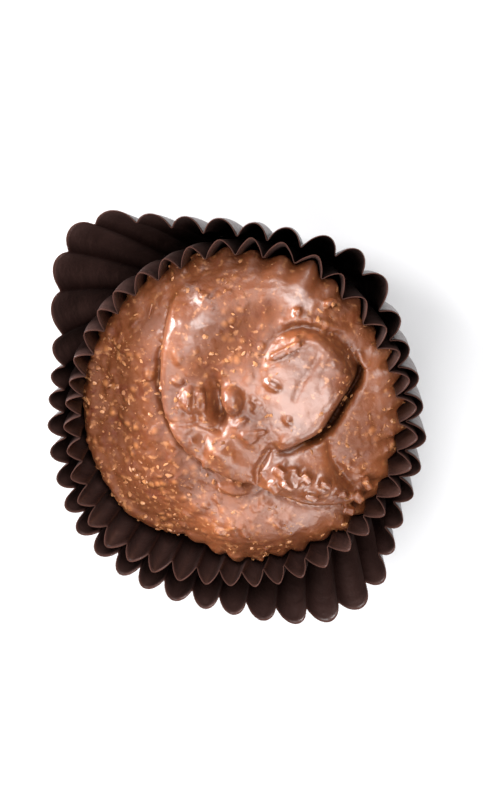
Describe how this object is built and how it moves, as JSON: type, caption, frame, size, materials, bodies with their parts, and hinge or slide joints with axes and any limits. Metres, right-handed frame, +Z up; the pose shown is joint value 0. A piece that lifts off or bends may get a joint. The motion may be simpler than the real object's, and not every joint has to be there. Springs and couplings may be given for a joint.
{
  "type": "nut cluster",
  "caption": "Round milk chocolate nut cluster with a poured swirl on top and a fluted side, sitting in nested dark pleated paper cups.",
  "frame": {"origin": "centre of the outer paper cup's base, on the surface the cup stands on", "axes": "+Z up; +Y towards the corner of the outer cup's oval rim where the poured fold runs into the dome; +X to the side of the broad folded tongue"},
  "size_m": [0.0413, 0.0473, 0.0233],
  "materials": {
    "chocolate": "satin",
    "cup_paper": "matte"
  },
  "bodies": {
    "root": {"cluster": "chocolate", "cup_inner": "cup_paper", "cup_outer": "cup_paper"}
  },
  "joints": []
}
